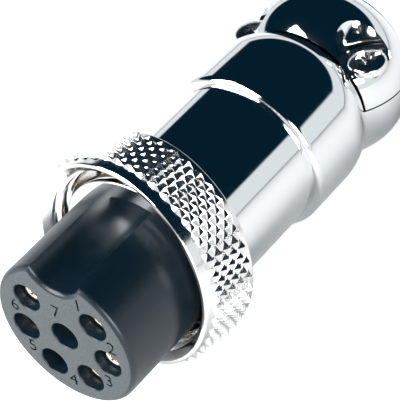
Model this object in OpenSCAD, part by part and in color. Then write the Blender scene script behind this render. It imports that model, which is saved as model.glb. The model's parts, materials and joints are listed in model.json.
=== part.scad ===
// Cable-end plug of a small circular connector: seven sockets in a keyed black insert, a threaded
// coupling nut that floats on the shell, and a two-jaw cable clamp at the tail.
// The plug's axis is X, with the mating face at x = 0 looking along +X and the key groove up (+Z).

/* [Insert] */
// Diameter of the moulded barrel that enters the mating socket
barrel_d = 12.7; // [12.2:0.1:13]
// Length of the barrel in front of the shell
barrel_l = 9.4; // [8.8:0.1:10]
// Diameter of the insert's neck inside the shell
neck_d = 11.4; // [11:0.1:11.6]
// Length of the insert's neck
neck_l = 6.1; // [5.6:0.1:6.6]
// Radius that rounds the front edge of the barrel
barrel_edge_r = 0.45; // [0.2:0.05:0.6]
// Radius of the round-bottomed key groove
key_r = 2.5; // [2.2:0.1:2.8]
// Depth of the key groove below the barrel's surface
key_depth = 1.9; // [1.5:0.1:2]

/* [Contacts] */
// Contacts on the ring; one more stands in the middle, and the key takes the ring's first place
ring_contacts = 6; // [6]
// Pitch circle diameter of the contact ring
contact_pcd = 7.92; // [7.7:0.02:8]
// Diameter of each contact's hole at the mating face
cavity_d = 2.4; // [2.2:0.1:2.5]
// Outer diameter of a contact tube
socket_d = 1.9; // [1.7:0.1:2]
// Bore of a contact tube, which takes a 1 mm pin
socket_bore_d = 1.1; // [1:0.05:1.2]
// How far a contact's mouth lies behind the mating face
socket_recess = 1; // [0.6:0.1:1.6]
// Depth of a contact's bore
socket_bore_l = 6.5; // [5:0.5:7.5]
// Width of the slot that splits a contact's mouth
socket_slot_w = 0.25; // [0.15:0.05:0.35]
// Diameter of a contact's shank, which is pressed into the insert
shank_d = 2; // [1.9:0.05:2.1]
// Diameter of a contact's collar
collar_d = 2.4; // [2.3:0.05:2.5]
// Length of a solder cup behind the insert
cup_l = 3; // [2:0.5:4]

/* [Front shell] */
// Diameter of the shell between the nut and the back shell
shell_d = 13.2; // [13:0.1:13.4]
// Diameter of the shell's front flange, which keeps the nut on
flange_d = 14.26; // [14.1:0.02:14.3]
// Thickness of the flange
flange_t = 0.8; // [0.6:0.1:0.9]
// Length of the shell in front of the back shell
shell_l = 13.4; // [13:0.1:14]
// Diameter of the spigot that screws into the back shell
spigot_d = 12.3; // [12.2:0.05:12.5]
// Length of the spigot
spigot_l = 5; // [4:0.2:5.2]

/* [Coupling nut] */
// Thickness of the nut's wall, from the thread's major diameter to the knurl's peaks
nut_wall = 1.05; // [0.95:0.05:1.3]
// Depth of the knurl
knurl_h = 0.3; // [0.2:0.02:0.4]
// Diamonds around the nut
knurl_count = 44; // [40:1:52]
// Rows of diamonds along the nut
knurl_rows = 4; // [3:1:4]
// Length of the knurled band
knurl_l = 4.2; // [3.8:0.1:4.4]
// Length of the nut
nut_l = 5.4; // [5.2:0.1:5.8]
// How far the nut's plain rims lie below the valleys of the knurl
rim_drop = 0.1; // [0.08:0.01:0.15]
// Major diameter of the coupling thread
thread_d = 16; // [16]
// Pitch of the coupling thread
thread_pitch = 1; // [1]
// Length of the threaded stretch of bore
thread_l = 2.3; // [2:0.1:2.6]
// Diameter of the chamfer at the nut's mouth
nut_mouth_d = 16.6; // [16.4:0.1:16.8]
// Thickness of the lip at the back of the nut
lip_t = 0.9; // [0.7:0.1:1]
// Bore of the lip, which runs on the shell
lip_d = 13.7; // [13.6:0.02:13.9]
// Place of the lip's middle behind the mating face
lip_at = 12.35; // [12.3:0.05:12.6]
// Angle at which the loose nut leans on the shell
nut_lean = 9; // [0:0.5:9]
// Direction of that lean around the axis, seen from the front
nut_lean_dir = -52; // [-180:1:180]

/* [Slip washer] */
// Thickness of the washer between the flange and the nut's lip
washer_t = 0.3; // [0.2:0.05:0.35]
// Outer diameter of the slip washer
washer_d = 14.1; // [13.9:0.05:14.2]
// Radial clearance of the washer on the shell
washer_play = 0.05; // [0.03:0.01:0.08]

/* [Back shell] */
// Diameter of the back shell's sleeve
sleeve_d = 14.44; // [14.2:0.02:14.8]
// Length of the sleeve, up to where it starts to round in
sleeve_l = 5.2; // [4.6:0.1:5.8]
// Radius of the sleeve's front edge
sleeve_edge_r = 0.5; // [0.3:0.05:0.6]
// Diameter at the neck between the sleeve and the clamp
waist_d = 12; // [11.8:0.1:12.4]
// Length over which the sleeve rounds in to the neck
shoulder_l = 3.2; // [2.8:0.1:3.6]
// Diameter of the wiring space inside the shell
wiring_d = 10.4; // [10:0.1:10.6]

/* [Cable clamp] */
// Largest diameter of the clamp's round jaws
jaw_d = 14.5; // [14.2:0.1:14.8]
// Length of the jaws
jaw_l = 7.6; // [7:0.1:8]
// Diameter of the cable passage
cable_d = 7.2; // [6.6:0.1:7.4]
// Gap between the two jaws
jaw_gap = 0.14; // [0.1:0.02:0.2]
// Turn of the jaws around the axis
clamp_turn = 5; // [-10:1:10]
// Distance from a clamp screw's axis in to the jaws' widest line
screw_inset = 1.65; // [1.55:0.05:1.75]
// Place of the clamp screws behind the front of the jaws
screw_at = 1.95; // [1.8:0.05:2.4]
// Diameter of a clamp screw's thread
screw_d = 1.9; // [1.7:0.05:2]
// Diameter of a clamp screw's head
head_d = 3.2; // [3:0.1:3.4]
// Height of a clamp screw's head
head_h = 1; // [0.8:0.1:1.2]
// Height of the head's seat above the parting plane
seat_h = 2.9; // [2.7:0.1:3.1]
// Radius of the pocket around a screw head
pocket_r = 2.2; // [2:0.05:2.3]
// Width of the cross recess in a screw head
recess_w = 0.45; // [0.35:0.05:0.55]
// Length of a clamp screw below the parting plane
screw_reach = 2.1; // [1.8:0.1:2.2]

/* [Small parts] */
// Thickness of the ring that holds the insert in the shell
retainer_t = 0.7; // [0.5:0.1:0.9]
// Diameter of the grub screw that locks the two shells together
grub_d = 2; // [1.6:0.1:2.2]
// Place of the grub screw behind the front of the back shell
grub_at = 2.6; // [2.2:0.1:3]

/* [Hidden] */
$fn = 96;
EPS = 0.01;
BEYOND = 1;                 // how far a cutter reaches past what it cuts
SEAT = 0.05;                // clearance of a screw in its hole

barrel_r = barrel_d / 2;
neck_r = neck_d / 2;
shell_r = shell_d / 2;
flange_r = flange_d / 2;
spigot_r = spigot_d / 2;
sleeve_r = sleeve_d / 2;
waist_r = waist_d / 2;
jaw_r = jaw_d / 2;
cable_r = cable_d / 2;
thread_minor_r = (thread_d - 1.0825 * thread_pitch) / 2;
relief_r = thread_d / 2 + 0.05;
knurl_peak_r = thread_d / 2 + nut_wall;
knurl_root_r = knurl_peak_r - knurl_h;

// stations behind the mating face
flange_back = barrel_l + flange_t;
insert_back = barrel_l + neck_l;
sleeve_front = barrel_l + shell_l;
shoulder_at = sleeve_front + sleeve_l;
jaw_front = shoulder_at + shoulder_l;
jaw_back = jaw_front + jaw_l;
spigot_back = sleeve_front + spigot_l;

key_places = ring_contacts + 1;
screw_x = jaw_r - screw_inset;
FITTINGS = ["insert", "front_shell", "slip_washer", "coupling_nut", "retaining_ring",
            "back_shell", "grub_screw", "clamp_saddle", "clamp_screw_right", "clamp_screw_left"];

// Stands a piece, drawn with its own axis along +Z and the front up, on the plug's axis. A place
// behind the mating face is a negative z there, local +x becomes Y, and local +y becomes Z (up).
module on_axis() {
    rotate([90, 0, 90]) children();
}

// A solid of revolution about the plug's axis from points [radius, station]
module turned(points) {
    on_axis() rotate_extrude() polygon([for (p = points) [p[0], -p[1]]]);
}

// A round bar on the plug's axis from one station to another
module bar(r, from, to) {
    on_axis() translate([0, 0, -to]) cylinder(r = r, h = to - from);
}

// Places a piece of the clamp: the origin at the front of the jaws, z up from the parting plane
module in_clamp() {
    rotate([clamp_turn, 0, 0]) translate([-jaw_front, 0, 0]) children();
}

// ---- insert ------------------------------------------------------------------------------------

// Angle of a ring contact: the key takes the first place, and the count runs clockwise from the front
function contact_angle(i) = 90 - 360 / key_places * i;

module at_contact(i) {
    r = i == key_places ? 0 : contact_pcd / 2;
    on_axis() rotate(contact_angle(i)) translate([r, 0, 0]) children();
}

module insert() {
    edge = [for (a = [0:15:90]) [barrel_r - barrel_edge_r + barrel_edge_r * sin(a),
                                 barrel_edge_r - barrel_edge_r * cos(a)]];
    color("#1c1d1f") difference() {
        turned(concat([[0, 0]], edge, [[barrel_r, barrel_l], [neck_r, barrel_l],
                                       [neck_r, insert_back], [0, insert_back]]));
        // key groove, up to the shell's flange
        on_axis() translate([0, barrel_r - key_depth + key_r, -barrel_l]) cylinder(r = key_r, h = barrel_l + 1);
        for (i = [1:key_places]) at_contact(i) {
            translate([0, 0, -barrel_l]) cylinder(d = cavity_d, h = barrel_l + 1);
            translate([0, 0, -insert_back - 1]) cylinder(d = shank_d, h = insert_back + 1);
        }
    }
}

// ---- contacts ----------------------------------------------------------------------------------

// A turned contact: a slotted tube in front, a shank in the insert, a collar and a solder cup behind
module contact(i) {
    collar_t = 0.5;
    cup_bore_d = 1.2;
    cup_back = insert_back + collar_t + cup_l;
    color("#d9d6cc") at_contact(i) difference() {
        rotate_extrude() polygon([
            [0, -socket_recess], [socket_d / 2, -socket_recess], [socket_d / 2, -barrel_l],
            [shank_d / 2, -barrel_l], [shank_d / 2, -insert_back], [collar_d / 2, -insert_back],
            [collar_d / 2, -insert_back - collar_t], [socket_d / 2, -insert_back - collar_t],
            [socket_d / 2, -cup_back], [0, -cup_back]]);
        translate([0, 0, -socket_recess - socket_bore_l]) cylinder(d = socket_bore_d, h = socket_bore_l + 1);
        translate([-socket_slot_w / 2, -socket_d, -socket_recess - socket_bore_l / 2])
            cube([socket_slot_w, 2 * socket_d, socket_bore_l]);
        // the solder cup is open at its back and on its outer side
        translate([0, 0, -cup_back - 1]) cylinder(d = cup_bore_d, h = cup_l);
        translate([0.2, -socket_d, -cup_back - 1]) cube([socket_d, 2 * socket_d, cup_l * 0.7 + 1]);
    }
}

// ---- front shell -------------------------------------------------------------------------------

module front_shell() {
    edge = 0.25;
    bore_r = neck_r + 0.05;
    groove_r = bore_r + 0.3;
    wiring_r = wiring_d / 2;
    color("#c9cacb") difference() {
        turned([[bore_r, barrel_l], [flange_r - edge, barrel_l], [flange_r, barrel_l + edge],
                [flange_r, flange_back], [shell_r, flange_back], [shell_r, sleeve_front],
                [spigot_r, sleeve_front], [spigot_r, spigot_back], [wiring_r, spigot_back],
                [wiring_r, insert_back + 2 * retainer_t], [bore_r, insert_back + 2 * retainer_t],
                [bore_r, insert_back + retainer_t], [groove_r, insert_back + retainer_t],
                [groove_r, insert_back], [bore_r, insert_back]]);
        // dimple for the point of the grub screw
        on_axis() translate([0, -spigot_r, -sleeve_front - grub_at]) rotate([90, 0, 0])
            translate([0, 0, -0.25]) cylinder(d = grub_d / 2, h = 1);
    }
}

// ---- retaining ring ----------------------------------------------------------------------------

// A split spring ring in the shell's groove, behind the insert
module retaining_ring() {
    outer = neck_r + 0.3;
    inner = wiring_d / 2;
    gap = 2.4;
    color("#8d8f92") difference() {
        turned([[inner, insert_back], [outer, insert_back],
                [outer, insert_back + retainer_t], [inner, insert_back + retainer_t]]);
        on_axis() translate([-gap / 2, 0, -insert_back - 2 * retainer_t]) cube([gap, neck_d, 3 * retainer_t]);
    }
}

// ---- slip washer -------------------------------------------------------------------------------

module slip_washer() {
    front = flange_back + washer_play;
    inner = shell_r + washer_play;
    color("#b3995c") turned([[inner, front], [washer_d / 2, front],
                             [washer_d / 2, front + washer_t], [inner, front + washer_t]]);
}

// ---- coupling nut ------------------------------------------------------------------------------

// Diamond knurl as a closed solid on +Z: peaks and valley crossings alternate on a half-pitch grid,
// and a chamfer at each end runs down to foot_r, inside the plain body under the knurl
module diamond_knurl(peak_r, root_r, foot_r, count, rows, length, chamfer) {
    n = 2 * count;
    m = 2 * rows;
    pitch = (length - 2 * chamfer) / m;
    function ring(z, even_r, odd_r) = [for (i = [0:n - 1])
        let (r = i % 2 == 0 ? even_r : odd_r, a = 360 * i / n) [r * cos(a), r * sin(a), z]];
    points = concat(
        ring(0, foot_r, foot_r),
        [for (j = [0:m]) each ring(chamfer + j * pitch,
            j % 2 == 0 ? root_r : peak_r, j % 2 == 0 ? peak_r : root_r)],
        ring(length, foot_r, foot_r));
    function at(i, j) = j * n + i % n;
    sides = [for (j = [0:m + 1]) for (i = [0:n - 1])
        let (a = at(i, j), b = at(i + 1, j), c = at(i + 1, j + 1), d = at(i, j + 1))
        each (i + j) % 2 == 1 ? [[a, c, b], [a, d, c]] : [[a, d, b], [b, d, c]]];
    bottom = [for (i = [0:n - 1]) at(i, 0)];
    top = [for (i = [n - 1:-1:0]) at(i, m + 2)];
    polyhedron(points, concat(sides, [bottom, top]));
}

module coupling_nut() {
    front = nut_l - lip_t / 2;          // heights above the middle of the lip
    back = -lip_t / 2;
    rim_r = knurl_root_r * cos(90 / knurl_count) - rim_drop;
    edge = 0.25;
    knurl_back = back + 0.4;
    thread_front = front - 0.5;
    relief_front = thread_front - thread_l;
    color("#cdcecf") translate([-lip_at, 0, 0])
        rotate([nut_lean_dir, 0, 0]) rotate([0, 0, -nut_lean]) rotate([-nut_lean_dir, 0, 0])
        on_axis() difference() {
            union() {
                rotate_extrude() polygon([
                    [0, back], [rim_r - edge, back], [rim_r, back + edge],
                    [rim_r, front - edge], [rim_r - edge, front], [0, front]]);
                translate([0, 0, knurl_back])
                    diamond_knurl(knurl_peak_r, knurl_root_r, rim_r - 2 * rim_drop,
                                  knurl_count, knurl_rows, knurl_l, knurl_h);
            }
            rotate_extrude() polygon([
                [0, back - 1], [lip_d / 2, back - 1], [lip_d / 2, -back], [relief_r, -back],
                [relief_r, relief_front], [thread_minor_r, relief_front + relief_r - thread_minor_r],
                [thread_minor_r, thread_front], [nut_mouth_d / 2, front + EPS], [0, front + EPS]]);
        }
}

// ---- back shell and clamp ----------------------------------------------------------------------

// Outline of the round jaws at a distance behind their front: an arc that bulges and closes in
function jaw_outline(s) =
    let (drop_front = jaw_r - waist_r - 0.05, top = 3.3,
         arc_r = (top * top + drop_front * drop_front) / (2 * drop_front))
    jaw_r - arc_r + sqrt(arc_r * arc_r - (s - top) * (s - top));

module jaws_solid() {
    steps = 24;
    turned(concat([[0, jaw_front]], [for (k = [0:steps]) let (s = jaw_l * k / steps)
        [jaw_outline(s), jaw_front + s]], [[0, jaw_back]]));
}

// Everything on one side of the parting plane: side 1 is the saddle's, -1 the lower jaw's
module clamp_half(side) {
    size = 2 * jaw_d;
    rotate([clamp_turn, 0, 0])
        translate([-jaw_back - BEYOND, -size / 2, side > 0 ? jaw_gap / 2 : -size - jaw_gap / 2])
        cube([jaw_l + 2 * BEYOND, size, size]);
}

// The cable's way through the jaws, flared at the back
module cable_passage() {
    flare = 0.5;
    turned([[0, jaw_front - BEYOND], [cable_r, jaw_front - BEYOND], [cable_r, jaw_back - flare],
            [cable_r + flare, jaw_back + EPS], [0, jaw_back + EPS]]);
}

module back_shell() {
    spigot_gap = 0.2;
    throat_l = 1.2;
    screw_gap = 0.3;
    arc_r = (shoulder_l * shoulder_l + pow(sleeve_r - waist_r, 2)) / (2 * (sleeve_r - waist_r));
    shoulder = [for (k = [0:12]) let (s = shoulder_l * k / 12)
        [sleeve_r - arc_r + sqrt(arc_r * arc_r - s * s), shoulder_at + s]];
    front_edge = [for (a = [0:15:90]) [sleeve_r - sleeve_edge_r + sleeve_edge_r * sin(a),
                                       sleeve_front + sleeve_edge_r - sleeve_edge_r * cos(a)]];
    color("#c9cacb") difference() {
        union() {
            turned(concat([[0, sleeve_front]], front_edge, shoulder, [[0, jaw_front]]));
            intersection() {
                jaws_solid();
                clamp_half(-1);
            }
        }
        bar(spigot_r, sleeve_front - BEYOND, spigot_back + spigot_gap);
        bar(wiring_d / 2, sleeve_front, jaw_front - throat_l);
        bar(cable_r, jaw_front - throat_l - BEYOND, jaw_front + EPS);
        cable_passage();
        for (side = [-1, 1]) in_clamp() translate([-screw_at, side * screw_x, -screw_reach - screw_gap])
            cylinder(d = screw_d + 2 * SEAT, h = screw_reach + screw_gap + BEYOND);
        on_axis() translate([0, -spigot_r + BEYOND, -sleeve_front - grub_at]) rotate([90, 0, 0])
            cylinder(d = grub_d, h = sleeve_r);
    }
}

module grub_screw() {
    socket_w = grub_d / 2;
    depth = sleeve_r - spigot_r;
    color("#3b3c3e") on_axis() translate([0, -spigot_r, -sleeve_front - grub_at]) rotate([90, 0, 0])
        difference() {
            union() {
                cylinder(d = grub_d, h = depth - 0.15);
                translate([0, 0, -0.2]) cylinder(d = grub_d / 2 - 0.1, h = 0.3);
            }
            translate([0, 0, depth * 0.45]) cylinder(d = socket_w, h = depth, $fn = 6);
        }
}

module clamp_saddle() {
    seam = 0.12;
    color("#c9cacb") difference() {
        intersection() {
            jaws_solid();
            clamp_half(1);
            in_clamp() translate([-jaw_l - 1, -jaw_d, 0]) cube([jaw_l + 1 - seam, 2 * jaw_d, jaw_d]);
        }
        cable_passage();
        for (side = [-1, 1]) in_clamp() translate([-screw_at, side * screw_x, 0]) {
            translate([0, 0, -1]) cylinder(d = screw_d + 2 * SEAT, h = jaw_d);
            translate([0, 0, seat_h]) cylinder(r = pocket_r, h = jaw_d);
        }
    }
}

// A pan-head screw with a cross recess, through the saddle and into the lower jaw
module clamp_screw(side) {
    crown = 0.25;
    head_r = head_d / 2;
    color("#b9babc") in_clamp() translate([-screw_at, side * screw_x, 0]) difference() {
        union() {
            translate([0, 0, -screw_reach]) cylinder(d = screw_d, h = screw_reach + seat_h);
            translate([0, 0, seat_h]) rotate_extrude() polygon([
                [0, 0], [head_r, 0], [head_r, head_h - 2 * crown],
                [head_r - crown * 0.4, head_h - crown], [head_r - 2 * crown, head_h - crown * 0.3],
                [0, head_h]]);
        }
        for (turn = [20, 110]) rotate(turn)
            translate([-head_r * 0.55, -recess_w / 2, seat_h + head_h * 0.35])
            cube([head_r * 1.1, recess_w, head_h]);
    }
}

insert();
for (i = [1:key_places]) contact(i);
front_shell();
slip_washer();
coupling_nut();
retaining_ring();
back_shell();
grub_screw();
clamp_saddle();
clamp_screw(1);  // clamp_screw_right
clamp_screw(-1);  // clamp_screw_left
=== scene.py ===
# Cable-end plug of a small circular connector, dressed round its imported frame. The plug's axis is
# X with the mating face at x = 0, the key groove is up, and a station is a distance behind that face.
import json
import math

import bmesh
import bpy
from mathutils import Matrix, Vector


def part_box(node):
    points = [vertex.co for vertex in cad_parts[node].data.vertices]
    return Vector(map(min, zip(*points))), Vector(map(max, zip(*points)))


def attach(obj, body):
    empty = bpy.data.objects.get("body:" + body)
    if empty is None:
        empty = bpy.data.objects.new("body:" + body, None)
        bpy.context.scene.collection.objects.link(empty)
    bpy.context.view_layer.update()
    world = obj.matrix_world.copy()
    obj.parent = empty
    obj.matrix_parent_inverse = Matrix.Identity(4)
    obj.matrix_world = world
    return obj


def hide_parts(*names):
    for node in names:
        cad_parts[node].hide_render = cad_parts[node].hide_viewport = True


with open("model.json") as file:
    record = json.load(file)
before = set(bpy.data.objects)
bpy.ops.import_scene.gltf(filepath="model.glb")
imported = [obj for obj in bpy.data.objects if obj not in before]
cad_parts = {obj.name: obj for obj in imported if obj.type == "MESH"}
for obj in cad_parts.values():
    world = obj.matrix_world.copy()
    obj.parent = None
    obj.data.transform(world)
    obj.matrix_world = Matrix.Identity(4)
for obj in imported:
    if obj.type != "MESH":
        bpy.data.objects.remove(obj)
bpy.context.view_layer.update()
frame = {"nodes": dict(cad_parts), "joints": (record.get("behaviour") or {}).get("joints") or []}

# ---- camera, floor and light -------------------------------------------------------------------
# A product shot: the plug lies on a white sheet in a dark room, under one large softbox in front of
# it and a smaller one behind. Polished metal shows the sheet as white and the room as near black.

MM = 0.001
LENS = 186.1
SWEEP_TOP, SWEEP_TILT = 0.28, 0.115
CAMERA_AT = Vector((71.66, 80.49, 106.68)) * MM
CAMERA_RIGHT = Vector((-0.58414, 0.80265, -0.12051))
CAMERA_AWAY = Vector((-0.55198, -0.50171, -0.66603))


def linear(hex_colour):
    """An sRGB hex colour as linear RGBA."""
    channels = [int(hex_colour[i:i + 2], 16) / 255 for i in (1, 3, 5)]
    return [c / 12.92 if c <= 0.04045 else ((c + 0.055) / 1.055) ** 2.4 for c in channels] + [1]


def add(tree, kind, inputs=None, **settings):
    """Adds a node, sets its settings, and gives each named input a value or a link."""
    made = tree.nodes.new("ShaderNode" + kind)
    for name, value in settings.items():
        setattr(made, name, value)
    for name, value in (inputs or {}).items():
        if isinstance(value, bpy.types.NodeSocket):
            tree.links.new(value, made.inputs[name])
        else:
            made.inputs[name].default_value = value
    return made


camera = bpy.data.objects.new("camera", bpy.data.cameras.new("camera"))
bpy.context.scene.collection.objects.link(camera)
camera.data.sensor_fit = "HORIZONTAL"
camera.data.sensor_width = 36
camera.data.lens = LENS
camera.data.clip_start = 0.01
turn = Matrix((CAMERA_RIGHT, CAMERA_RIGHT.cross(CAMERA_AWAY), -CAMERA_AWAY)).transposed()
camera.matrix_world = Matrix.Translation(CAMERA_AT) @ turn.to_4x4()
bpy.context.scene.camera = camera
bpy.context.scene.view_settings.view_transform = "Standard"

world = bpy.data.worlds.new("dark_room")
bpy.context.scene.world = world
world.use_nodes = True
world.node_tree.nodes.clear()
tree = world.node_tree
ray = add(tree, "LightPath")
room = add(tree, "Background", {"Color": linear("#0a3044"), "Strength": 0.5})
backdrop = add(tree, "Background", {"Color": linear("#ffffff"), "Strength": 1})
# the sheet sweeps up round the plug, a little higher on the +Y side, and metal mirrors its edge
sweep = add(tree, "Background", {"Color": linear("#f3f8fb"), "Strength": 0.95})
height = add(tree, "VectorMath", {0: add(tree, "TexCoord").outputs["Generated"], 1: (0, SWEEP_TILT, -1)},
             operation="DOT_PRODUCT")
under = add(tree, "MapRange", {"Value": height.outputs["Value"], "From Min": -SWEEP_TOP - 0.02,
                               "From Max": -SWEEP_TOP + 0.02})
mirrored = add(tree, "Math", {0: under.outputs["Result"], 1: ray.outputs["Is Glossy Ray"]},
               operation="MULTIPLY")
dark = add(tree, "MixShader", {0: mirrored.outputs[0], 1: room.outputs[0], 2: sweep.outputs[0]})
seen = add(tree, "MixShader", {0: ray.outputs["Is Camera Ray"], 1: dark.outputs[0], 2: backdrop.outputs[0]})
add(tree, "OutputWorld", {"Surface": seen.outputs[0]})

sheet_paper = bpy.data.materials.new("white_paper_sheet")
sheet_paper.use_nodes = True
tree = sheet_paper.node_tree
tree.nodes.clear()
ray = add(tree, "LightPath")
paper = add(tree, "BsdfDiffuse", {"Color": linear("#f4f5f6")})
lit = add(tree, "Emission", {"Color": linear("#ffffff"), "Strength": 0.6})
lifted = add(tree, "AddShader", {0: paper.outputs[0], 1: lit.outputs[0]})
mixed = add(tree, "MixShader", {0: ray.outputs["Is Camera Ray"], 1: paper.outputs[0], 2: lifted.outputs[0]})
add(tree, "OutputMaterial", {"Surface": mixed.outputs[0]})

nut_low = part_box("coupling_nut")[0]
tail_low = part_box("back_shell")[0]
slope = math.atan2(tail_low[2] - nut_low[2], nut_low[0] + 0.003 - tail_low[0] - 0.004)
floor_mesh = bpy.data.meshes.new("floor")
reach = 0.7
floor_mesh.from_pydata([(-reach, -reach, 0), (reach, -reach, 0), (reach, reach, 0), (-reach, reach, 0)],
                       [], [(0, 1, 2, 3)])
floor_mesh.materials.append(sheet_paper)
floor = bpy.data.objects.new("floor", floor_mesh)
bpy.context.scene.collection.objects.link(floor)
floor.rotation_euler = (0, slope, 0)
floor.location = (nut_low[0] + 0.003, 0, nut_low[2] - 0.0001)


def softbox(name, towards, distance, width, height, watts, hex_colour="#ffffff"):
    """A rectangular lamp that faces the plug from a direction."""
    lamp = bpy.data.lights.new(name, "AREA")
    lamp.shape = "RECTANGLE"
    lamp.size, lamp.size_y = width, height
    lamp.energy = watts
    lamp.color = linear(hex_colour)[:3]
    box = bpy.data.objects.new(name, lamp)
    middle = Vector((-0.015, 0, 0))
    box.location = middle + Vector(towards).normalized() * distance
    box.rotation_euler = (box.location - middle).to_track_quat("Z", "Y").to_euler()
    bpy.context.scene.collection.objects.link(box)


softbox("front_softbox", (0.66, -0.46, 0.6), 0.5, 0.42, 0.42, 5.5)
softbox("side_softbox", (0.5, 0.85, 0.35), 0.6, 0.3, 0.3, 2.5)

# ---- insert ------------------------------------------------------------------------------------
# The plug's front is one moulding in black glass-filled nylon: a smooth barrel with a round key
# groove, a spark-textured face with the places' numbers sunk into it, and a neck inside the shell.

BARREL_R, BARREL_L = 6.35, 9.4
NECK_R, NECK_L = 5.7, 6.1
EDGE_R = 0.45
KEY_R, KEY_DEPTH = 2.5, 1.9
PLACES = 7
RING_R = 3.96
CAVITY_R, CAVITY_L = 1.2, 9.3
MOUTH_R = 0.12
NUMBER_H, NUMBER_R, NUMBER_DEPTH = 1.2, 4.65, 0.16
NUMBER_LEAD = 25
LAST_NUMBER = (-0.35, 2.35)


def contact_place(i):
    """A contact's place across the axis: the key takes the ring's first place, and 7 is the middle."""
    angle = math.radians(90 - 360 / PLACES * i)
    reach = 0 if i == PLACES else RING_R
    return reach * math.cos(angle), reach * math.sin(angle)


def round_edge(x, r, radius, start, end, steps=6):
    """Points (station, r) on an arc about (x, r), between two angles measured from +station to +r."""
    return [(x + radius * math.cos(a), r + radius * math.sin(a)) for a in
            (math.radians(start + (end - start) * k / steps) for k in range(steps + 1))]


def new_piece(name, mesh, body, replaced=(), sharp=35):
    """Links a mesh as a piece that rides on a body, with smooth faces between its sharp edges."""
    mesh.shade_smooth()
    mesh.set_sharp_from_angle(angle=math.radians(sharp))
    made = bpy.data.objects.new(name, mesh)
    bpy.context.scene.collection.objects.link(made)
    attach(made, body)
    if replaced:
        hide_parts(*replaced)
    return made


def mesh_of(name, points, faces, *materials):
    """A mesh from points in millimetres, with its normals facing out."""
    mesh = bpy.data.meshes.new(name)
    mesh.from_pydata([Vector(p) * MM for p in points], [], faces)
    tidy = bmesh.new()
    tidy.from_mesh(mesh)
    bmesh.ops.remove_doubles(tidy, verts=tidy.verts, dist=1e-7)
    bmesh.ops.dissolve_degenerate(tidy, edges=tidy.edges, dist=1e-8)
    bmesh.ops.recalc_face_normals(tidy, faces=tidy.faces)
    tidy.to_mesh(mesh)
    tidy.free()
    for material in materials:
        mesh.materials.append(material)
    return mesh


def lofted(rings, closed=False):
    """Points and quads between rings of equal counts, with the two ends capped or joined."""
    count = len(rings[0])
    points = [p for ring in rings for p in ring]
    faces = []
    for j in range(len(rings) - (0 if closed else 1)):
        below, above = j * count, (j + 1) % len(rings) * count
        for i in range(count):
            n = (i + 1) % count
            faces.append((below + i, below + n, above + n, above + i))
    if not closed:
        faces += [tuple(range(count))[::-1], tuple(range(len(points) - count, len(points)))]
    return points, faces


def turned(profile, steps=192, at=(0, 0)):
    """A solid of revolution along X from a closed outline of points (station, radius)."""
    angles = [2 * math.pi * i / steps for i in range(steps)]
    rings = [[(-s, at[0] + r * math.cos(a), at[1] + r * math.sin(a)) for a in angles] for s, r in profile]
    return lofted(rings, closed=True)


def joined(*solids):
    """Several solids' points and faces as one."""
    points, faces = [], []
    for more_points, more_faces in solids:
        start = len(points)
        points += more_points
        faces += [tuple(start + i for i in face) for face in more_faces]
    return points, faces


def cut(piece, cutter_mesh, operation="DIFFERENCE"):
    """Cuts a piece by a mesh, or keeps what they share, and applies the result."""
    cutter = bpy.data.objects.new("cutter", cutter_mesh)
    bpy.context.scene.collection.objects.link(cutter)
    step = piece.modifiers.new("cut", "BOOLEAN")
    step.operation = operation
    step.solver = "EXACT"
    step.object = cutter
    bpy.context.view_layer.update()
    result = bpy.data.meshes.new_from_object(piece.evaluated_get(bpy.context.evaluated_depsgraph_get()))
    piece.modifiers.clear()
    piece.data = result
    bpy.data.objects.remove(cutter)
    return result


def barrel_outline(inset, x):
    """The barrel's section with its key groove, drawn in by an inset."""
    r, groove_r = BARREL_R - inset, KEY_R + inset
    groove_at = BARREL_R - KEY_DEPTH + KEY_R
    reach = math.acos((r * r + groove_at ** 2 - groove_r ** 2) / (2 * r * groove_at))
    half = math.acos((groove_at - r * math.cos(reach)) / groove_r)
    around, across = 168, 28
    ring = []
    for k in range(around):
        a = reach + (2 * math.pi - 2 * reach) * k / around
        ring.append((x, r * math.sin(a), r * math.cos(a)))
    for k in range(across):
        a = -half + 2 * half * k / across
        ring.append((x, groove_r * math.sin(a), groove_at - groove_r * math.cos(a)))
    return ring


moulding = bpy.data.materials.new("moulded_black_nylon")
moulding.use_nodes = True
tree = moulding.node_tree
shader = tree.nodes["Principled BSDF"]
where = add(tree, "TexCoord").outputs["Object"]
grain = add(tree, "TexNoise", {"Vector": where, "Scale": 9000, "Detail": 3, "Roughness": 0.6})
patches = add(tree, "TexNoise", {"Vector": where, "Scale": 700, "Detail": 2})
shade = add(tree, "ValToRGB", {"Fac": patches.outputs["Fac"]})
shade.color_ramp.elements[0].color = linear("#03141e")
shade.color_ramp.elements[1].color = linear("#081c27")
tree.links.new(shade.outputs["Color"], shader.inputs["Base Color"])
rough = add(tree, "MapRange", {"Value": grain.outputs["Fac"], "To Min": 0.24, "To Max": 0.4})
tree.links.new(rough.outputs["Result"], shader.inputs["Roughness"])
bumps = add(tree, "Bump", {"Height": grain.outputs["Fac"], "Strength": 0.35, "Distance": 0.00001})
tree.links.new(bumps.outputs["Normal"], shader.inputs["Normal"])
shader.inputs["IOR"].default_value = 1.53

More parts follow.
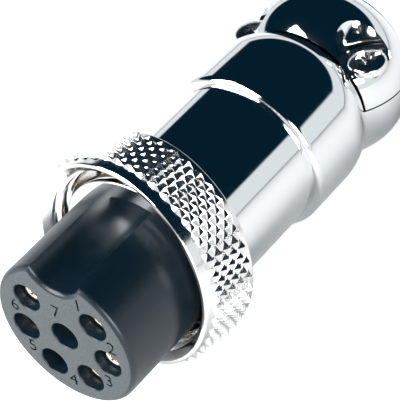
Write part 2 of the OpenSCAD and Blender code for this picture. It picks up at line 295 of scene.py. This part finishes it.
# The face's grey is partly its spark texture and partly painted light: a lighter copy of the black nylon
# that stands in for the front softbox's light falling on the face.
face_texture_and_painted_light = bpy.data.materials.new("spark_textured_nylon_with_painted_light")
face_texture_and_painted_light.use_nodes = True
tree = face_texture_and_painted_light.node_tree
shader = tree.nodes["Principled BSDF"]
where = add(tree, "TexCoord").outputs["Object"]
grit = add(tree, "TexNoise", {"Vector": where, "Scale": 6000, "Detail": 4, "Roughness": 0.7})
shade = add(tree, "ValToRGB", {"Fac": grit.outputs["Fac"]})
shade.color_ramp.elements[0].position, shade.color_ramp.elements[1].position = 0.3, 0.7
# greys well above the barrel's black, partly painted light on the face
shade.color_ramp.elements[0].color = linear("#383d40")
shade.color_ramp.elements[1].color = linear("#555d60")
tree.links.new(shade.outputs["Color"], shader.inputs["Base Color"])
shader.inputs["Roughness"].default_value = 0.62
bumps = add(tree, "Bump", {"Height": grit.outputs["Fac"], "Strength": 0.6, "Distance": 0.00002})
tree.links.new(bumps.outputs["Normal"], shader.inputs["Normal"])

rings = [barrel_outline(EDGE_R - EDGE_R * math.sin(a), -EDGE_R + EDGE_R * math.cos(a))
         for a in (math.radians(15 * k) for k in range(7))]
rings.append(barrel_outline(0, -BARREL_L))
barrel = lofted(rings)
neck = turned([(BARREL_L - 0.01, 0.001), (BARREL_L - 0.01, NECK_R), (BARREL_L + NECK_L, NECK_R),
               (BARREL_L + NECK_L, 0.001)], 96)
insert_mesh = mesh_of("insert", *barrel, moulding, face_texture_and_painted_light)
insert = new_piece("insert_moulding", insert_mesh, "shell", ["insert"])

wells = []
for i in range(1, PLACES + 1):
    mouth = [(-0.3, CAVITY_R + MOUTH_R)] + round_edge(MOUTH_R, CAVITY_R + MOUTH_R, MOUTH_R, 180, 270, 4)
    wells.append(turned([(-0.3, 0.001)] + mouth + [(CAVITY_L, CAVITY_R), (CAVITY_L, 0.001)],
                        48, contact_place(i)))
cut(insert, mesh_of("wells", *joined(*wells)))

for i in range(1, PLACES + 1):
    words = bpy.data.curves.new(f"number_{i}", "FONT")
    words.body = str(i)
    words.size = NUMBER_H * MM * 1.4
    words.align_x, words.align_y = "CENTER", "CENTER"
    words.extrude = NUMBER_DEPTH * MM
    words.resolution_u = 4
    angle = math.radians(90 - 360 / PLACES * i + NUMBER_LEAD)
    across, up = (NUMBER_R * math.cos(angle), NUMBER_R * math.sin(angle)) if i < PLACES else LAST_NUMBER
    stand = Matrix.Translation(Vector((0, across, up)) * MM)
    lay = Matrix(((0, 0, 1, 0), (1, 0, 0, 0), (0, 1, 0, 0), (0, 0, 0, 1)))
    holder = bpy.data.objects.new("number", words)
    number_mesh = bpy.data.meshes.new_from_object(holder)
    number_mesh.transform(stand @ lay)
    bpy.data.objects.remove(holder)
    cut(insert, number_mesh)

whole = bmesh.new()
whole.from_mesh(insert.data)
whole.from_mesh(mesh_of("neck", *neck))
whole.to_mesh(insert.data)
whole.free()
insert.data.shade_smooth()
insert.data.set_sharp_from_angle(angle=math.radians(30))
for face in insert.data.polygons:
    face.material_index = 1 if face.normal.x > 0.98 and face.center.x > -0.3 * MM else 0

# ---- contacts ----------------------------------------------------------------------------------
# Each socket is turned from brass and plated, with a rounded mouth and one saw cut through its
# front half, so that it grips a 1 mm pin; the tubes here are drawn without the saw cut. The sockets
# float a little in their cavities.

SOCKET_R, SOCKET_BORE_R = 0.95, 0.55
SOCKET_BACK = 19
SOCKET_DEPTHS = [1.0, 0.75, 0.95, 2.3, 1.15, 0.8, 1.9]

contact_plate = bpy.data.materials.new("silver_plated_brass")
contact_plate.use_nodes = True
tree = contact_plate.node_tree
shader = tree.nodes["Principled BSDF"]
shader.inputs["Base Color"].default_value = linear("#efe6d2")
shader.inputs["Metallic"].default_value = 1
where = add(tree, "TexCoord").outputs["Object"]
tarnish = add(tree, "TexNoise", {"Vector": where, "Scale": 2500, "Detail": 2})
rough = add(tree, "MapRange", {"Value": tarnish.outputs["Fac"], "To Min": 0.12, "To Max": 0.3})
tree.links.new(rough.outputs["Result"], shader.inputs["Roughness"])

for i in range(1, PLACES + 1):
    lip = (SOCKET_R - SOCKET_BORE_R) / 2
    front = SOCKET_DEPTHS[i - 1]
    mouth = round_edge(front + lip, SOCKET_BORE_R + lip, lip, 270, 90, 8)
    tube = turned(mouth + [(SOCKET_BACK, SOCKET_R), (SOCKET_BACK, 0.001), (front + 6.5, 0.001),
                           (front + 6.5, SOCKET_BORE_R)], 48, contact_place(i))
    socket = new_piece(f"socket_{i}", mesh_of(f"socket_{i}", *tube, contact_plate), "shell",
                       [f"contact_{i}"])

# ---- front shell -------------------------------------------------------------------------------
# The plug's backbone is turned in brass and plated with bright nickel: a tube with a thin flange in
# front that keeps the nut on, and a spigot behind that screws into the back shell.

FLANGE_R, FLANGE_T = 7.13, 0.8
SHELL_R, SHELL_L = 6.6, 13.4
SPIGOT_R, SPIGOT_L = 6.15, 5.0
WIRING_R = 5.2
SHELL_EDGE_R = 0.12


def bright_nickel(name, hex_colour, rough_min, rough_max, wave_height):
    """Bright nickel plate over turned or cast metal: a mirror with faint polishing waves in it."""
    plate = bpy.data.materials.new(name)
    plate.use_nodes = True
    tree = plate.node_tree
    shader = tree.nodes["Principled BSDF"]
    shader.inputs["Base Color"].default_value = linear(hex_colour)
    shader.inputs["Metallic"].default_value = 1
    where = add(tree, "TexCoord").outputs["Object"]
    haze = add(tree, "TexNoise", {"Vector": where, "Scale": 900, "Detail": 3})
    rough = add(tree, "MapRange", {"Value": haze.outputs["Fac"], "To Min": rough_min, "To Max": rough_max})
    tree.links.new(rough.outputs["Result"], shader.inputs["Roughness"])
    wave = add(tree, "TexNoise", {"Vector": where, "Scale": 300, "Detail": 2})
    bumps = add(tree, "Bump", {"Height": wave.outputs["Fac"], "Strength": 1, "Distance": wave_height})
    tree.links.new(bumps.outputs["Normal"], shader.inputs["Normal"])
    return plate


shell_plate = bright_nickel("polished_nickel_plate", "#e9ebec", 0.03, 0.09, 0.000004)

flange_back = BARREL_L + FLANGE_T
step_at = BARREL_L + SHELL_L
insert_end = BARREL_L + NECK_L
bore = NECK_R + 0.05
shell_profile = ([(BARREL_L, bore)]
                 + round_edge(BARREL_L + SHELL_EDGE_R, FLANGE_R - SHELL_EDGE_R, SHELL_EDGE_R, 180, 90)
                 + round_edge(flange_back - SHELL_EDGE_R, FLANGE_R - SHELL_EDGE_R, SHELL_EDGE_R, 90, 0)
                 + [(flange_back, SHELL_R), (step_at, SHELL_R), (step_at, SPIGOT_R),
                    (step_at + SPIGOT_L, SPIGOT_R), (step_at + SPIGOT_L, WIRING_R),
                    (insert_end + 1.4, WIRING_R), (insert_end + 1.4, bore)])
shell_mesh = mesh_of("front_shell", *turned(shell_profile, 256), shell_plate)
new_piece("front_shell_tube", shell_mesh, "shell", ["front_shell"])

# ---- slip washer, retaining ring and grub screw ------------------------------------------------
# Three bought-in parts that keep the shape of the frame: a thin brass washer that the nut turns
# on, a spring-steel ring in the shell's groove behind the insert, and a blackened grub screw.


def plain_metal(name, hex_colour, roughness, grain_mm, metallic=1):
    """Bare or blackened metal with a fine grain in its gloss."""
    metal = bpy.data.materials.new(name)
    metal.use_nodes = True
    tree = metal.node_tree
    shader = tree.nodes["Principled BSDF"]
    shader.inputs["Base Color"].default_value = linear(hex_colour)
    shader.inputs["Metallic"].default_value = metallic
    where = add(tree, "TexCoord").outputs["Object"]
    grain = add(tree, "TexNoise", {"Vector": where, "Scale": 1 / (grain_mm * MM), "Detail": 3})
    rough = add(tree, "MapRange", {"Value": grain.outputs["Fac"],
                                   "To Min": roughness * 0.7, "To Max": roughness * 1.3})
    tree.links.new(rough.outputs["Result"], shader.inputs["Roughness"])
    return metal


finishes = {
    "slip_washer": plain_metal("bare_stamped_brass", "#c8a45c", 0.3, 0.3),
    "retaining_ring": plain_metal("rolled_spring_steel", "#8f9194", 0.35, 0.2),
    "grub_screw": plain_metal("blackened_steel", "#2b2c2e", 0.45, 0.2),
}
for name, metal in finishes.items():
    for slot in frame["nodes"][name].material_slots:
        slot.material = metal

# ---- coupling nut ------------------------------------------------------------------------------
# A brass ring with a diamond knurl rolled round it and an M16 x 1 thread cut inside its mouth,
# plated with bright nickel. Its lip hangs loose on the shell, so the nut leans as it lies.

KNURL_R, KNURL_DEPTH = 9.05, 0.4
KNURL_COUNT, KNURL_ROWS = 44, 4
KNURL_L, KNURL_BACK = 4.2, -0.05
KNURL_FLAT = 0.14
NUT_FRONT, NUT_BACK = 4.95, -0.45
RIM_R, RIM_EDGE = 8.62, 0.16
MOUTH_RIM_R = 8.3
THREAD_R, THREAD_PITCH, THREAD_FRONT, THREAD_L = 8.0, 1.0, 4.45, 2.3
THREAD_STEPS = 8
LIP_R, RELIEF_R = 6.85, 8.05

nut_joint = next(joint for joint in frame["joints"] if joint["name"] == "nut_spin")
nut_axis = Vector(nut_joint["axis"]).normalized()
nut_at = Vector(nut_joint["pos_m"])
nut_place = Matrix.Translation(nut_at) @ nut_axis.to_track_quat("Z", "Y").to_matrix().to_4x4()

nut_plate = bright_nickel("nickel_plate_over_knurl", "#f1f0ee", 0.08, 0.16, 0.000003)


def diamond_band():
    """The knurl as a closed ring: diamonds with small flat tops between straight valley lines."""
    points, faces, places = [], [], {}
    columns, rows = 2 * KNURL_COUNT, 2 * KNURL_ROWS
    end = 0.3
    pitch = (KNURL_L - 2 * end) / rows

    def place(key, column, row, r):
        if key not in places:
            a = 2 * math.pi * column / columns
            places[key] = len(points)
            points.append((r * math.cos(a), r * math.sin(a), KNURL_BACK + end + row * pitch))
        return places[key]

    def valley(i, j):
        i %= columns
        return place((i, j), i, j, KNURL_R - KNURL_DEPTH)

    def top(i, j, di, dj):
        return place((i % columns, j, di, dj), i + di * KNURL_FLAT, j + dj * KNURL_FLAT, KNURL_R)

    ways = [(1, 0), (0, 1), (-1, 0), (0, -1)]
    for j in range(rows + 1):
        for i in range(columns):
            if (i + j) % 2 == 0:
                continue
            kept = [w for w in ways if 0 <= j + w[1] <= rows]
            for a, b in zip(ways, ways[1:] + ways[:1]):
                if a in kept and b in kept:
                    faces.append((valley(i + a[0], j + a[1]), valley(i + b[0], j + b[1]),
                                  top(i, j, *b), top(i, j, *a)))
            faces.append(tuple(top(i, j, *w) for w in kept))
    foot = KNURL_R - KNURL_DEPTH - 0.35
    for j, z in ((0, KNURL_BACK), (rows, KNURL_BACK + KNURL_L)):
        ring = []
        for i in range(columns):
            ring += [valley(i, j)] if (i + j) % 2 == 0 else [top(i, j, -1, 0), top(i, j, 1, 0)]
        feet = []
        for k in ring:
            x, y, _ = points[k]
            grow = foot / math.hypot(x, y)
            feet.append(len(points))
            points.append((x * grow, y * grow, z))
        for k in range(len(ring)):
            n = (k + 1) % len(ring)
            faces.append((ring[k], ring[n], feet[n], feet[k]))
        inner_feet = feet if j == 0 else inner_feet
    outer_feet = feet
    for k in range(len(inner_feet)):
        n = (k + 1) % len(inner_feet)
        faces.append((inner_feet[k], inner_feet[n], outer_feet[n], outer_feet[k]))
    return points, faces


def thread_radius(z, phase):
    """Radius of the nut's bore at a height: thread, mouth chamfer or relief, whichever is widest."""
    minor = THREAD_R - 0.5413 * THREAD_PITCH
    share = abs(phase % 1 - 0.5) * 2
    ridge = min(max((share - 0.125) / 0.625, 0), 1)
    cone = MOUTH_RIM_R - (NUT_FRONT - z)
    relief = RELIEF_R - (z - (THREAD_FRONT - THREAD_L - 0.5))
    return max(THREAD_R - (THREAD_R - minor) * ridge, cone, min(relief, RELIEF_R))


around = 180
low = THREAD_FRONT - THREAD_L - 0.6
angles = [2 * math.pi * i / around for i in range(around)]
levels = int((NUT_FRONT - low + 2 * THREAD_PITCH) / THREAD_PITCH * THREAD_STEPS) + 1
thread_rings = []
for k in range(levels):
    ring = []
    for i, a in enumerate(angles):
        climb = k / THREAD_STEPS - 1 + i / around
        z = min(max(low + climb * THREAD_PITCH, low), NUT_FRONT)
        r = thread_radius(z, climb)
        ring.append((r * math.cos(a), r * math.sin(a), z))
    thread_rings.append(ring)


def nut_ring(z, r):
    return [(r * math.cos(a), r * math.sin(a), z) for a in angles]


outside = ([(z, r) for z, r in round_edge(NUT_FRONT - RIM_EDGE, RIM_R - RIM_EDGE, RIM_EDGE, 0, 90)]
           + [(z, r) for z, r in round_edge(NUT_BACK + RIM_EDGE, RIM_R - RIM_EDGE, RIM_EDGE, 90, 180)]
           + [(NUT_BACK, LIP_R), (-NUT_BACK, LIP_R), (-NUT_BACK, RELIEF_R), (low, RELIEF_R)])
body_rings = [nut_ring(NUT_FRONT, MOUTH_RIM_R)] + [nut_ring(z, r) for z, r in outside]


def seamed(rings):
    """Faces between rings whose last column joins the first one a full turn of thread higher."""
    points = [p for ring in rings for p in ring]
    faces = []
    for k in range(len(rings) - 1):
        for i in range(around):
            rise = THREAD_STEPS if i == around - 1 else 0
            n = (i + 1) % around
            if k + rise + 1 < len(rings):
                faces.append((k * around + i, (k + rise) * around + n,
                              (k + rise + 1) * around + n, (k + 1) * around + i))
    return points, faces


body_points, body_faces = lofted(body_rings, closed=True)
body_faces = body_faces[:-around]
nut_points, nut_faces = joined((body_points, body_faces), seamed(thread_rings), diamond_band())
nut_points = [nut_place @ (Vector(p) * MM) / MM for p in nut_points]
nut_mesh = mesh_of("coupling_nut", nut_points, nut_faces, nut_plate)
new_piece("knurled_coupling_nut", nut_mesh, "nut", ["coupling_nut"], 12)

# ---- back shell and clamp ----------------------------------------------------------------------
# The back shell is die-cast zinc under bright nickel: a sleeve with a rounded step in front, a
# shoulder that rounds in, and the lower of two jaws that bulge round the cable.

SLEEVE_R, SLEEVE_L, SLEEVE_EDGE_R = 7.22, 5.2, 0.5
WAIST_R, SHOULDER_L = 6.0, 3.2
JAW_R, JAW_L, JAW_TOP = 7.25, 7.6, 3.3
CABLE_R, FLARE = 3.6, 0.5
JAW_GAP, CLAMP_TURN = 0.14, math.radians(5)
SCREW_ACROSS, SCREW_AT, SCREW_R = 5.6, 1.95, 0.95
SEAT_H, POCKET_R = 2.9, 2.2
SADDLE_SEAM = 0.12

shoulder_at = step_at + SLEEVE_L
jaw_front = shoulder_at + SHOULDER_L
jaw_back = jaw_front + JAW_L


def shoulder_radius(s):
    drop = SLEEVE_R - WAIST_R
    arc = (SHOULDER_L ** 2 + drop ** 2) / (2 * drop)
    return SLEEVE_R - arc + math.sqrt(arc ** 2 - s ** 2)


def jaw_radius(s):
    drop = JAW_R - WAIST_R - 0.05
    arc = (JAW_TOP ** 2 + drop ** 2) / (2 * drop)
    return JAW_R - arc + math.sqrt(arc ** 2 - (s - JAW_TOP) ** 2)


def jaw_solid(front=0.0):
    """Both jaws as one round solid, bored for the cable and rounded at the back edge."""
    steps, edge = 30, 0.3
    outside = [(jaw_front + s, jaw_radius(s)) for s in
               (front + (JAW_L - edge - front) * k / steps for k in range(steps + 1))]
    last_r = jaw_radius(JAW_L - edge)
    back = round_edge(jaw_back - edge, last_r - edge, edge, 90, 0, 5)[1:]
    inside = [(jaw_back, CABLE_R + FLARE), (jaw_back - FLARE, CABLE_R), (jaw_front + front, CABLE_R)]
    return turned(outside + back + inside, 256)


def clamp_box(x_front, x_back, low_z, high_z):
    """A block across the clamp, turned with it about the plug's axis."""
    half = 10
    corners = [(-x, y, z) for x in (x_front, x_back) for y in (-half, half) for z in (low_z, high_z)]
    spin = Matrix.Rotation(CLAMP_TURN, 3, "X")
    faces = [(0, 1, 3, 2), (4, 6, 7, 5), (0, 4, 5, 1), (2, 3, 7, 6), (0, 2, 6, 4), (1, 5, 7, 3)]
    return [tuple(spin @ Vector(c)) for c in corners], faces


def clamp_bar(side, r, low_z, high_z, steps=64, edge=0.0):
    """An upright round bar in the clamp at one of the two screws, with a flared top if asked."""
    outline = [(low_z, 0.001), (low_z, r), (high_z - edge, r), (high_z, r + edge), (high_z, 0.001)]
    angles = [2 * math.pi * i / steps for i in range(steps)]
    spin = Matrix.Rotation(CLAMP_TURN, 3, "X")
    rings = [[tuple(spin @ Vector((-jaw_front - SCREW_AT + rr * math.cos(a),
                                   side * SCREW_ACROSS + rr * math.sin(a), z))) for a in angles]
             for z, rr in outline]
    return lofted(rings, closed=True)


front_edge = round_edge(step_at + SLEEVE_EDGE_R, SLEEVE_R - SLEEVE_EDGE_R, SLEEVE_EDGE_R, 180, 90, 10)
shoulder = [(shoulder_at + SHOULDER_L * k / 16, shoulder_radius(SHOULDER_L * k / 16)) for k in range(17)]
sleeve = turned([(step_at, SHELL_R - 0.1)] + front_edge + shoulder
                + [(jaw_front, CABLE_R), (jaw_front - 1.2, CABLE_R), (jaw_front - 1.2, WIRING_R),
                   (step_at + SPIGOT_L + 0.2, WIRING_R), (step_at + SPIGOT_L + 0.2, SPIGOT_R + 0.01),
                   (step_at, SPIGOT_R + 0.01)], 256)
jaw = new_piece("lower_jaw", mesh_of("lower_jaw", *jaw_solid(-0.02), shell_plate), "shell")
cut(jaw, mesh_of("parting", *clamp_box(jaw_front - 1, jaw_back + 1, -12, -JAW_GAP / 2)), "INTERSECT")
for side in (1, -1):
    cut(jaw, mesh_of("screw_hole", *clamp_bar(side, SCREW_R + 0.05, -2.4, 1)))
jaw.data.shade_smooth()
jaw.data.set_sharp_from_angle(angle=math.radians(30))
new_piece("back_shell_sleeve", mesh_of("back_shell", *sleeve, shell_plate), "shell",
          ["back_shell"])

# ---- clamp saddle ------------------------------------------------------------------------------
# The upper jaw is a loose saddle of the same plated zinc, held down by two screws whose heads sit
# in round pockets that break out through its sides.

saddle = new_piece("clamp_saddle", mesh_of("clamp_saddle", *jaw_solid(SADDLE_SEAM), shell_plate), "clamp",
                   ["clamp_saddle"])
cut(saddle, mesh_of("parting", *clamp_box(jaw_front - 1, jaw_back + 1, JAW_GAP / 2, 12)), "INTERSECT")
for side in (1, -1):
    cut(saddle, mesh_of("screw_hole", *clamp_bar(side, SCREW_R + 0.05, -1, 8)))
    cut(saddle, mesh_of("pocket", *clamp_bar(side, POCKET_R, SEAT_H, 8)))
saddle.data.shade_smooth()
saddle.data.set_sharp_from_angle(angle=math.radians(30))

# ---- clamp screws ------------------------------------------------------------------------------
# Two plated steel screws with domed pan heads and a pressed cross recess pull the saddle down.

HEAD_R, HEAD_H = 1.6, 1.0
SCREW_REACH = 2.1
RECESS_W, RECESS_L, RECESS_DEPTH = 0.42, 1.9, 0.62
RECESS_TURN = {1: 20, -1: 65}

screw_plate = bright_nickel("nickel_plate_on_steel", "#e6e6e4", 0.08, 0.2, 0.000005)


def screw_solid(side):
    """A screw's outline turned about its own axis: shank, flat seat, short wall and dome."""
    crown = 0.45
    dome = [(HEAD_H - crown * (1 - math.cos(math.radians(a))), HEAD_R * math.sin(math.radians(a)))
            for a in range(90, -1, -10)]
    outline = [(-SCREW_REACH, 0.001), (-SCREW_REACH, SCREW_R), (SEAT_H, SCREW_R), (SEAT_H, HEAD_R - 0.08),
               (SEAT_H + 0.08, HEAD_R)] + [(SEAT_H + z, max(r, 0.001)) for z, r in dome]
    spin = Matrix.Rotation(CLAMP_TURN, 3, "X")
    angles = [2 * math.pi * i / 64 for i in range(64)]
    rings = [[tuple(spin @ Vector((-jaw_front - SCREW_AT + r * math.cos(a),
                                   side * SCREW_ACROSS + r * math.sin(a), z))) for a in angles]
             for z, r in outline]
    return lofted(rings, closed=True)


def recess_arm(side, turn):
    """One tapered arm of the cross recess, as a cutter."""
    floor_l, floor_w = RECESS_L * 0.45, RECESS_W * 0.7
    top, low_z = SEAT_H + HEAD_H + 0.1, SEAT_H + HEAD_H - RECESS_DEPTH
    spin = Matrix.Rotation(CLAMP_TURN, 3, "X")
    face = Matrix.Rotation(math.radians(turn), 3, "Z")
    points = []
    for z, length, width in ((low_z, floor_l, floor_w), (top, RECESS_L, RECESS_W)):
        for x, y in ((-1, -1), (1, -1), (1, 1), (-1, 1)):
            spot = face @ Vector((x * length / 2, y * width / 2, 0))
            points.append(tuple(spin @ Vector((-jaw_front - SCREW_AT + spot.x,
                                               side * SCREW_ACROSS + spot.y, z))))
    return points, [(3, 2, 1, 0), (4, 5, 6, 7), (0, 1, 5, 4), (1, 2, 6, 5), (2, 3, 7, 6), (3, 0, 4, 7)]


for side, name in ((1, "right"), (-1, "left")):
    screw = new_piece(f"clamp_screw_head_{name}", mesh_of("clamp_screw", *screw_solid(side), screw_plate),
                      "clamp", [f"clamp_screw_{name}"])
    for turn in (RECESS_TURN[side], RECESS_TURN[side] + 90):
        cut(screw, mesh_of("recess", *recess_arm(side, turn)))
    screw.data.shade_smooth()
    screw.data.set_sharp_from_angle(angle=math.radians(30))

# ---- hand over ---------------------------------------------------------------------------------

bpy.context.view_layer.update()
